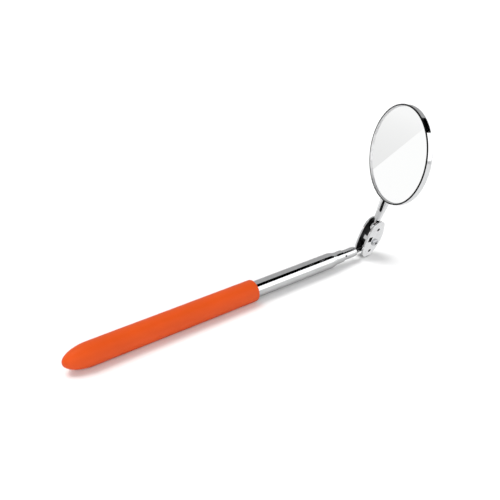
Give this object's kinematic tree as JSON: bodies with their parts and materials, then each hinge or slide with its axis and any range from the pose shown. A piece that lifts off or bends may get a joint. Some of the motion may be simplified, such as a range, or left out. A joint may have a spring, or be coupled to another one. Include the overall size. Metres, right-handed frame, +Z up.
{
  "type": "telescoping inspection mirror",
  "caption": "Round inspection mirror on a double ball joint, carried by a rod that slides and turns in a chrome tube with an orange vinyl grip.",
  "frame": {"origin": "on the ground, under the middle of the box that the resting tool fills", "axes": "+X along the handle, from the grip's closed end to the mirror; +Z up; the mirror stands over the +X end and looks back along the handle, towards -X"},
  "size_m": [0.2174, 0.0556, 0.0992],
  "materials": {
    "orange_vinyl": "satin dipped vinyl",
    "chrome_tube": "polished chrome plate",
    "chrome_parts": "chrome plate",
    "chrome_plate": "chrome plate over stamped steel",
    "chrome_case": "polished chrome plate on a drawn case",
    "plain_steel": "bright zinc-plated steel",
    "spring_bronze": "bright bronze",
    "black_nylon": "matte moulded nylon",
    "mirror_glass": "polished glass, silvered behind",
    "grey_paint": "matte backing paint",
    "grey_card": "soft fibre card"
  },
  "bodies": {
    "handle": {"grip_sleeve": "orange_vinyl", "outer_tube": "chrome_tube", "tail_plug": "black_nylon"},
    "slider": {"friction_spring": "spring_bronze"},
    "rod": {"rod_end_plug": "spring_bronze", "rod_tube": "chrome_tube", "rod_ball_stud": "chrome_parts", "stud_cross_pin": "plain_steel"},
    "clamp": {"front_clamp_plate": "chrome_plate", "back_clamp_plate": "chrome_plate", "clamp_screw": "plain_steel", "lock_washer": "plain_steel", "clamp_nut": "plain_steel"},
    "mirror_stud": {"mirror_ball_stud": "chrome_parts"},
    "head": {"stem_bracket": "chrome_parts", "mirror_case": "chrome_case", "mirror_glass": "mirror_glass", "silvering": "grey_paint", "backing_pad": "grey_card", "lower_rivet": "plain_steel", "upper_rivet": "plain_steel"}
  },
  "joints": [
    {"name": "rod_slide", "type": "slide", "parent": "handle", "child": "slider", "axis": [1, 0, 0], "range_m": [0, 0.135]},
    {"name": "rod_turn", "type": "hinge", "parent": "slider", "child": "rod", "pos_m": [0.09464, 0.0179, 0.0063], "axis": [1, 0, 0], "continuous": true},
    {"name": "clamp_tilt", "type": "hinge", "parent": "rod", "child": "clamp", "pos_m": [0.09464, 0.0179, 0.0063], "axis": [0, 0.9583, 0.2857], "range_deg": [-30, 110]},
    {"name": "stem_tilt", "type": "hinge", "parent": "clamp", "child": "mirror_stud", "pos_m": [0.09623, 0.01336, 0.02156], "axis": [0, 0.9583, 0.2857], "range_deg": [-40, 90]},
    {"name": "head_turn", "type": "hinge", "parent": "mirror_stud", "child": "head", "pos_m": [0.09623, 0.01336, 0.02156], "axis": [0.0819, -0.2847, 0.9551], "continuous": true}
  ]
}
